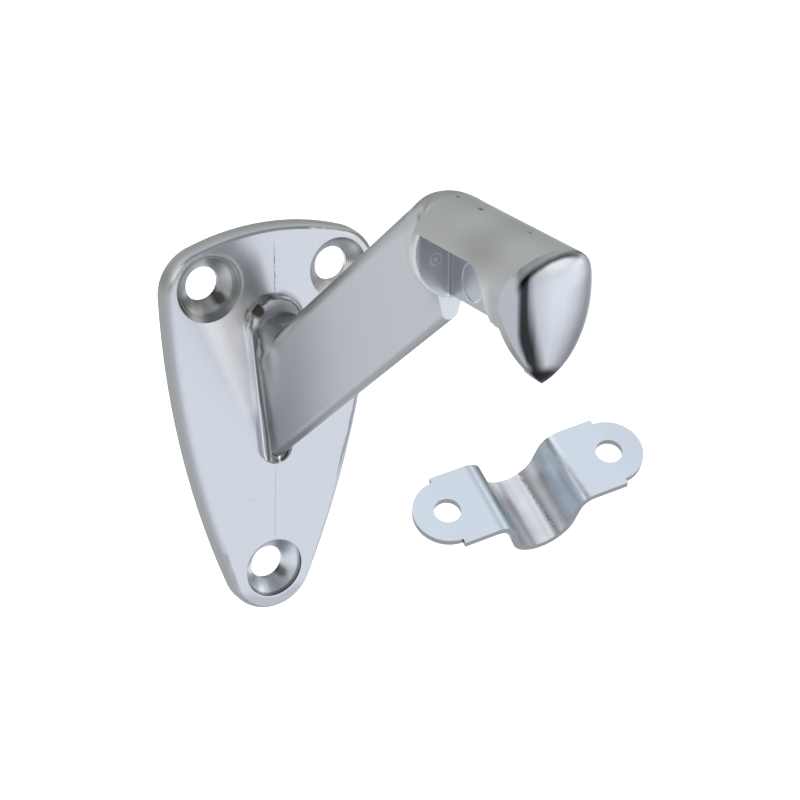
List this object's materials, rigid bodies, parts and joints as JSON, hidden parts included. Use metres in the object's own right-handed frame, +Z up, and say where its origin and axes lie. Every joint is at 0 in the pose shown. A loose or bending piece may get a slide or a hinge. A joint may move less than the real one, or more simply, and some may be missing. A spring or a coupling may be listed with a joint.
{
  "type": "handrail bracket",
  "caption": "Wall handrail bracket: pointed oval plate with countersunk holes, raking blade arm, level round finger with a pointed nose, and its loose pressed rail strap beside it.",
  "frame": {"origin": "middle of the wall plate's flat back face, on the wall plane", "axes": "+Y into the wall, so the bracket stands out towards -Y; +Z up, towards the rail; X = 0 is the casting's plane of symmetry"},
  "size_m": [0.086, 0.0919, 0.0917],
  "materials": {
    "casting_chrome": "satin chrome on a zinc die casting, polished plate and nose, duller finger",
    "strap_zinc": "bright zinc-plated pressed steel"
  },
  "bodies": {
    "root": {"bracket_casting": "casting_chrome", "rail_strap": "strap_zinc"}
  },
  "joints": []
}
